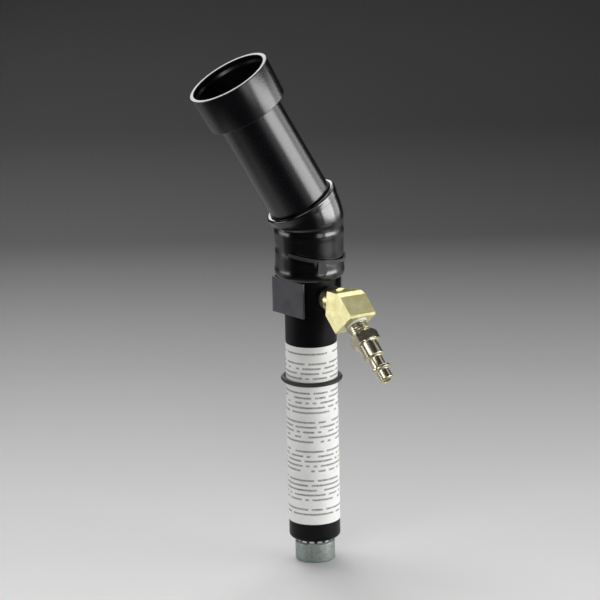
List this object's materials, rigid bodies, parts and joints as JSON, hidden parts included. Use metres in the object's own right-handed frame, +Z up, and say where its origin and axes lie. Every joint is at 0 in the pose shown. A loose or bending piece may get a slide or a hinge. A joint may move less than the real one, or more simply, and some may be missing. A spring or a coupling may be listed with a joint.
{
  "type": "vortex tube air cooler",
  "caption": "Slim upright vortex tube with a control knob at its foot, a belt bracket, a brass inlet elbow with a quick-connect plug, and a bent outlet that ends in a wide collar.",
  "frame": {"origin": "centre of the control knob's foot face, on the tube's axis", "axes": "+Z up along the tube, -Y out along the air inlet, +Y towards the belt bracket's web"},
  "size_m": [0.0876, 0.125, 0.3251],
  "materials": {
    "plated_grey": "zinc-plated turned steel, satin",
    "brass": "machined bar stock, satin",
    "nozzle_brass": "machined",
    "rubber": "moulded, semi-matte",
    "anodised_black": "black anodised, satin",
    "bare_alloy": "turned",
    "bare_steel": "drawn tube",
    "label_white": "white film",
    "felt": "felt",
    "sheet_black": "black, satin",
    "plated_steel": "plated, bright",
    "tape_white": "thread tape",
    "moulded_black": "moulded, semi-gloss",
    "clip_black": "moulded, semi-gloss"
  },
  "bodies": {
    "cooler": {"end_cap": "anodised_black", "valve_body": "brass", "jacket": "anodised_black", "label": "label_white", "loose_ring": "rubber", "hot_tube": "bare_steel", "muffler_sleeve": "felt", "vortex_head": "anodised_black", "generator": "nozzle_brass", "generator_seal": "rubber", "cold_cap": "bare_alloy", "cap_seal": "rubber", "cuff_seal": "rubber", "belt_bracket": "sheet_black", "bracket_screws": "plated_steel", "inlet_elbow": "brass", "thread_tape": "tape_white", "quick_plug": "plated_steel"},
    "seal": {"stem_seal": "rubber"},
    "control": {"knob": "plated_grey", "valve_stem": "brass"},
    "outlet": {"outlet_elbow": "moulded_black", "outlet_tube": "moulded_black", "cuff_clip": "clip_black"}
  },
  "joints": [
    {"name": "valve_travel", "type": "slide", "parent": "cooler", "child": "seal", "axis": [0, 0, 1], "range_m": [-0.003, 0]},
    {"name": "valve_turn", "type": "hinge", "parent": "seal", "child": "control", "pos_m": [0, 0, 0], "axis": [0, 0, 1], "range_deg": [-1080, 0]},
    {"name": "outlet_swivel", "type": "hinge", "parent": "cooler", "child": "outlet", "pos_m": [0, 0, 0.2], "axis": [0, 0, 1], "continuous": true}
  ],
  "couplings": [
    {"joint": "valve_turn", "follows": "valve_travel", "rad_per_m": 6283.2}
  ]
}
